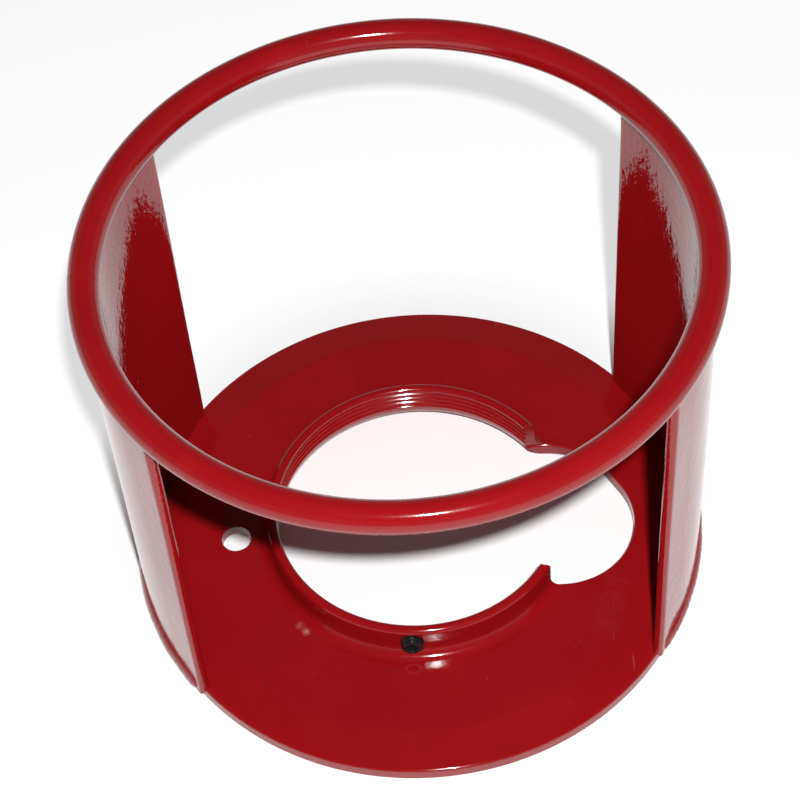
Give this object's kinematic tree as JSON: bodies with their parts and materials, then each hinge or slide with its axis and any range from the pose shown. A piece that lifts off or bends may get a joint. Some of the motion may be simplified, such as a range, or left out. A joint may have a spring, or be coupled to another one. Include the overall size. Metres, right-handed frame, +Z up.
{
  "type": "gas cylinder valve guard",
  "caption": "Open valve guard for a gas cylinder: threaded base plate, curved side plates and a round top ring that doubles as a carrying handle, welded and painted red.",
  "frame": {"origin": "on the neck's axis, at the height of the base plate's lower edge", "axes": "+Z up along the threaded neck, -Y towards the set screw and out of the front window, +X towards the round cutout and the right side plate"},
  "size_m": [0.158, 0.158, 0.1232],
  "materials": {
    "red_paint": "gloss",
    "red_paint_on_weld": "gloss, over an uneven bead",
    "black_oxide_steel": "black oxide, slightly oily"
  },
  "bodies": {
    "guard": {"base_plate": "red_paint", "top_ring": "red_paint", "left_side_plate": "red_paint", "right_side_plate": "red_paint", "left_base_weld": "red_paint_on_weld", "right_base_weld": "red_paint_on_weld", "left_ring_weld": "red_paint_on_weld", "right_ring_weld": "red_paint_on_weld", "ring_butt_weld": "red_paint"},
    "set_screw": {"set_screw": "black_oxide_steel"}
  },
  "joints": [
    {"name": "set_screw_travel", "type": "slide", "parent": "guard", "child": "set_screw", "axis": [0.1045, 0.9945, 0], "range_m": [-0.006, 0.002]}
  ]
}
